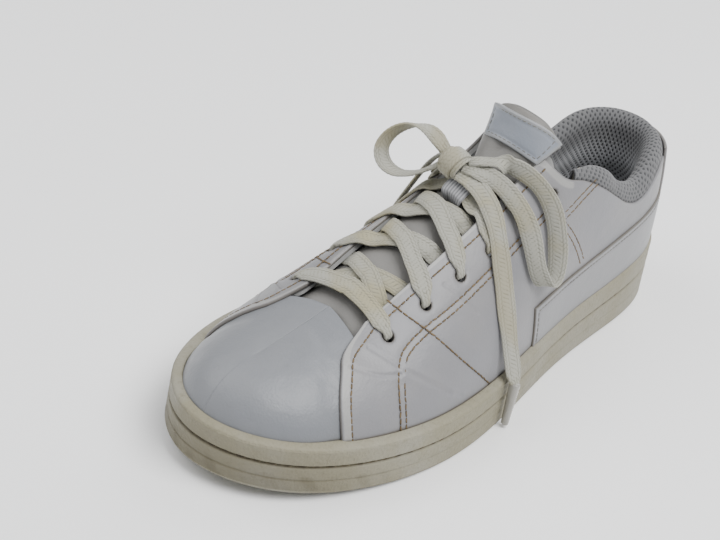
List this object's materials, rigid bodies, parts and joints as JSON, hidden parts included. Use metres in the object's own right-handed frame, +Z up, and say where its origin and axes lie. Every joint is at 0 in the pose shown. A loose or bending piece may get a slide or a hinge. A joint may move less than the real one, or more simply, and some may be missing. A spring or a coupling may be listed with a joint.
{
  "type": "court shoe",
  "caption": "Low-cut lace-up left court shoe: stitched rubber cupsole, layered leather upper, padded mesh collar, hinged padded tongue and flat lace tied in a bow.",
  "frame": {"origin": "on the floor under the middle of the sole's length and width, the free lace left out", "axes": "+Z up, toe towards -Y, outer (lateral) side towards +X"},
  "size_m": [0.1032, 0.2717, 0.108],
  "materials": {
    "sole_rubber": "matte cream rubber, fine stipple, yellowed and dusty",
    "sidewall_thread": "waxed polyester thread, dirty cream",
    "eva_foam": "closed-cell foam, matt",
    "strobel_fibre": "non-woven fibre board",
    "sockliner_cloth": "brushed grey knit over thin foam",
    "vamp_leather": "smooth white leather, cool, creased and scuffed, low sheen",
    "quarter_leather": "smooth white leather, low sheen",
    "overlay_leather": "smooth white leather, slightly glossier",
    "tongue_leather": "soft warm grey-white leather",
    "label_leather": "smooth light blue-grey synthetic leather",
    "stiffener": "resin-stiffened non-woven",
    "lining_cloth": "fine woven lining",
    "padding_foam": "open-cell foam",
    "collar_mesh": "grey padded mesh with small oval holes",
    "elastic": "ribbed white elastic",
    "lace_cotton": "flat braided off-white lace, yellow stained",
    "aglet_plastic": "milky clear plastic, glossy"
  },
  "bodies": {
    "shoe": {"collar_foam": "padding_foam", "collar_lining": "collar_mesh", "cupsole": "sole_rubber", "facing_stay_lateral": "stiffener", "facing_stay_medial": "stiffener", "heel_counter": "stiffener", "heel_panel": "quarter_leather", "lace_aglet_lateral": "aglet_plastic", "lace_aglet_medial": "aglet_plastic", "lace_end_lateral": "lace_cotton", "lace_end_medial": "lace_cotton", "lace_keeper": "elastic", "lace_knot": "lace_cotton", "lace_laced": "lace_cotton", "lace_loop_lateral": "lace_cotton", "lace_loop_medial": "lace_cotton", "midsole_wedge": "eva_foam", "quarter_lateral": "quarter_leather", "quarter_lining_lateral": "lining_cloth", "quarter_lining_medial": "lining_cloth", "quarter_medial": "quarter_leather", "side_overlay_lateral": "overlay_leather", "side_overlay_medial": "overlay_leather", "sidewall_thread": "sidewall_thread", "sockliner": "sockliner_cloth", "strobel_board": "strobel_fibre", "toe_puff": "stiffener", "tongue_root_foam": "padding_foam", "tongue_root_leather": "tongue_leather", "tongue_root_lining": "collar_mesh", "vamp": "vamp_leather", "vamp_lining": "lining_cloth"},
    "tongue": {"tongue_flap_foam": "padding_foam", "tongue_flap_leather": "tongue_leather", "tongue_flap_lining": "collar_mesh", "tongue_label": "label_leather"}
  },
  "joints": [
    {"name": "tongue_flex", "type": "hinge", "parent": "shoe", "child": "tongue", "pos_m": [0, 0.0079, 0.0823], "axis": [1, 0, 0], "range_deg": [-4, 2], "stiffness_Nm_per_rad": 0.05}
  ]
}
